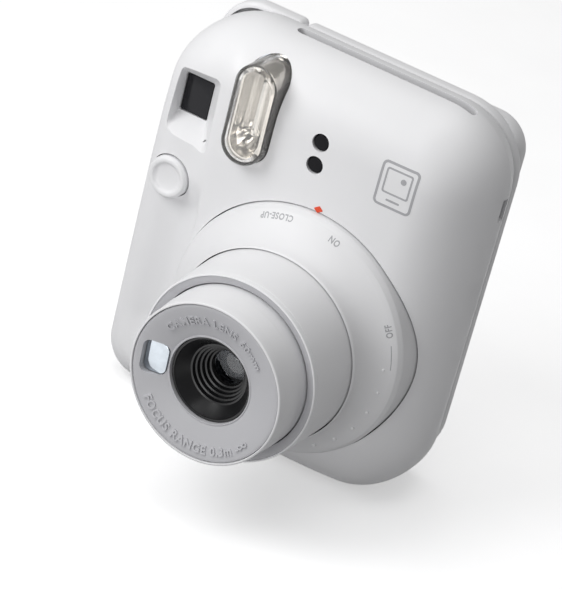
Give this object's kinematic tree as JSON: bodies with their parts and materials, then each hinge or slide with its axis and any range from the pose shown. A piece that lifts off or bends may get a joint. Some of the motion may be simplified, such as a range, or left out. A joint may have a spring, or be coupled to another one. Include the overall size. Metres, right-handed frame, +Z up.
{
  "type": "instant camera",
  "caption": "Instant film camera with a twist-out lens, flash, viewfinder, hinged film door and a driven roller pair that ejects prints from a slot in its top.",
  "frame": {"origin": "middle of the camera's box at the level of its feet", "axes": "the lens looks along -Y, +Z is up, +X is to the right of someone facing the lens"},
  "size_m": [0.104, 0.09, 0.122],
  "materials": {
    "white_plastic": "satin",
    "grey_plastic": "matt",
    "black_plastic": "matt",
    "dark_window": "gloss",
    "black_rubber": "matt",
    "clear_plastic": "clear",
    "optical_glass": "polished",
    "steel": "brushed",
    "reflector": "bright",
    "mirror": "mirror",
    "board": "satin",
    "nylon": "satin",
    "cell_jacket": "satin"
  },
  "bodies": {
    "camera_body": {"front_housing": "white_plastic", "rear_cover": "white_plastic", "exit_trim": "white_plastic", "chamber_frame": "black_plastic", "light_baffle": "black_plastic", "lens_guide": "black_plastic", "flash_cover": "clear_plastic", "flash_reflector": "reflector", "flash_tube": "clear_plastic", "sensor_window_upper": "dark_window", "sensor_window_lower": "dark_window", "finder_window": "clear_plastic", "finder_tube": "black_plastic", "finder_eyepiece": "clear_plastic", "eyecup": "black_rubber", "strap_bar": "steel", "foot_front_left": "black_rubber", "foot_front_right": "black_rubber", "foot_rear_left": "black_rubber", "foot_rear_right": "black_rubber", "circuit_board": "board", "flash_capacitor": "black_plastic", "drive_motor": "steel", "idler_pin": "steel", "contact_lower": "steel", "contact_upper": "steel", "cell_front": "cell_jacket", "cell_rear": "cell_jacket", "shutter_switch": "black_plastic", "counter_window": "clear_plastic"},
    "twist_ring": {"twist_ring": "white_plastic"},
    "middle_barrel": {"middle_barrel": "white_plastic"},
    "front_barrel": {"front_barrel": "white_plastic", "lens_face": "grey_plastic", "selfie_mirror": "mirror", "lens_well": "black_plastic", "front_lens": "optical_glass", "shutter_plate": "black_plastic", "lens_cell": "black_plastic", "rear_lens": "optical_glass"},
    "blade_left": {"shutter_blade_left": "steel"},
    "blade_right": {"shutter_blade_right": "steel"},
    "shutter_button": {"shutter_button": "white_plastic"},
    "film_door": {"film_door": "white_plastic", "pack_window": "clear_plastic", "pressure_pad_lower": "steel", "pressure_pad_upper": "steel"},
    "door_latch": {"door_latch": "white_plastic"},
    "battery_door": {"battery_door": "white_plastic"},
    "front_roller": {"film_roller_front": "black_rubber", "roller_gear_front": "nylon"},
    "rear_roller": {"film_roller_rear": "black_rubber", "roller_gear_rear": "nylon"},
    "idler": {"idler_gear": "nylon"},
    "pinion": {"drive_pinion": "steel"},
    "film_claw": {"film_claw": "steel"},
    "counter_wheel": {"counter_wheel": "nylon"}
  },
  "joints": [
    {"name": "ring_twist", "type": "hinge", "parent": "camera_body", "child": "twist_ring", "pos_m": [0.008, -0.01295, 0.045], "axis": [0, -1, 0], "range_deg": [-13.3, 64.2]},
    {"name": "middle_slide", "type": "slide", "parent": "camera_body", "child": "middle_barrel", "axis": [0, -1, 0], "range_m": [-0.0078, 0.0016]},
    {"name": "front_slide", "type": "slide", "parent": "middle_barrel", "child": "front_barrel", "axis": [0, -1, 0], "range_m": [-0.0078, 0.0017]},
    {"name": "blade_left_swing", "type": "hinge", "parent": "front_barrel", "child": "blade_left", "pos_m": [-0.003, -0.02305, 0.051], "axis": [0, 1, 0], "range_deg": [0, 55], "stiffness_Nm_per_rad": 0.0005},
    {"name": "blade_right_swing", "type": "hinge", "parent": "front_barrel", "child": "blade_right", "pos_m": [0.019, -0.02215, 0.051], "axis": [0, -1, 0], "range_deg": [0, 55]},
    {"name": "button_press", "type": "slide", "parent": "camera_body", "child": "shutter_button", "axis": [0, 1, 0], "range_m": [0, 0.0015], "stiffness_N_per_m": 600},
    {"name": "film_door_hinge", "type": "hinge", "parent": "camera_body", "child": "film_door", "pos_m": [0.047, 0.0342, 0.062], "axis": [0, 0, -1], "range_deg": [0, 100]},
    {"name": "latch_slide", "type": "slide", "parent": "film_door", "child": "door_latch", "axis": [0, 0, 1], "range_m": [0, 0.003], "stiffness_N_per_m": 300},
    {"name": "battery_door_hinge", "type": "hinge", "parent": "camera_body", "child": "battery_door", "pos_m": [-0.047, 0.0342, 0.036], "axis": [0, 0, 1], "range_deg": [0, 100]},
    {"name": "front_roller_turn", "type": "hinge", "parent": "camera_body", "child": "front_roller", "pos_m": [0.008, 0.01625, 0.1055], "axis": [1, 0, 0], "continuous": true},
    {"name": "rear_roller_turn", "type": "hinge", "parent": "camera_body", "child": "rear_roller", "pos_m": [0.008, 0.02385, 0.1055], "axis": [1, 0, 0], "continuous": true},
    {"name": "idler_turn", "type": "hinge", "parent": "camera_body", "child": "idler", "pos_m": [0.0417, 0.01818, 0.09648], "axis": [1, 0, 0], "continuous": true},
    {"name": "pinion_turn", "type": "hinge", "parent": "camera_body", "child": "pinion", "pos_m": [0.0417, 0.01325, 0.09], "axis": [1, 0, 0], "continuous": true},
    {"name": "claw_slide", "type": "slide", "parent": "camera_body", "child": "film_claw", "axis": [0, 0, 1], "range_m": [0, 0.006], "stiffness_N_per_m": 100},
    {"name": "counter_turn", "type": "hinge", "parent": "camera_body", "child": "counter_wheel", "pos_m": [-0.0349, 0.03405, 0.077], "axis": [0, 1, 0], "continuous": true}
  ],
  "couplings": [
    {"joint": "ring_twist", "follows": "middle_slide", "rad_per_m": -143.21},
    {"joint": "front_slide", "follows": "middle_slide", "ratio": 0.98718},
    {"joint": "blade_right_swing", "follows": "blade_left_swing", "ratio": 1},
    {"joint": "rear_roller_turn", "follows": "front_roller_turn", "ratio": -1},
    {"joint": "idler_turn", "follows": "front_roller_turn", "ratio": -0.7},
    {"joint": "pinion_turn", "follows": "front_roller_turn", "ratio": 1.4},
    {"joint": "counter_turn", "follows": "front_roller_turn", "ratio": 0.02632}
  ]
}
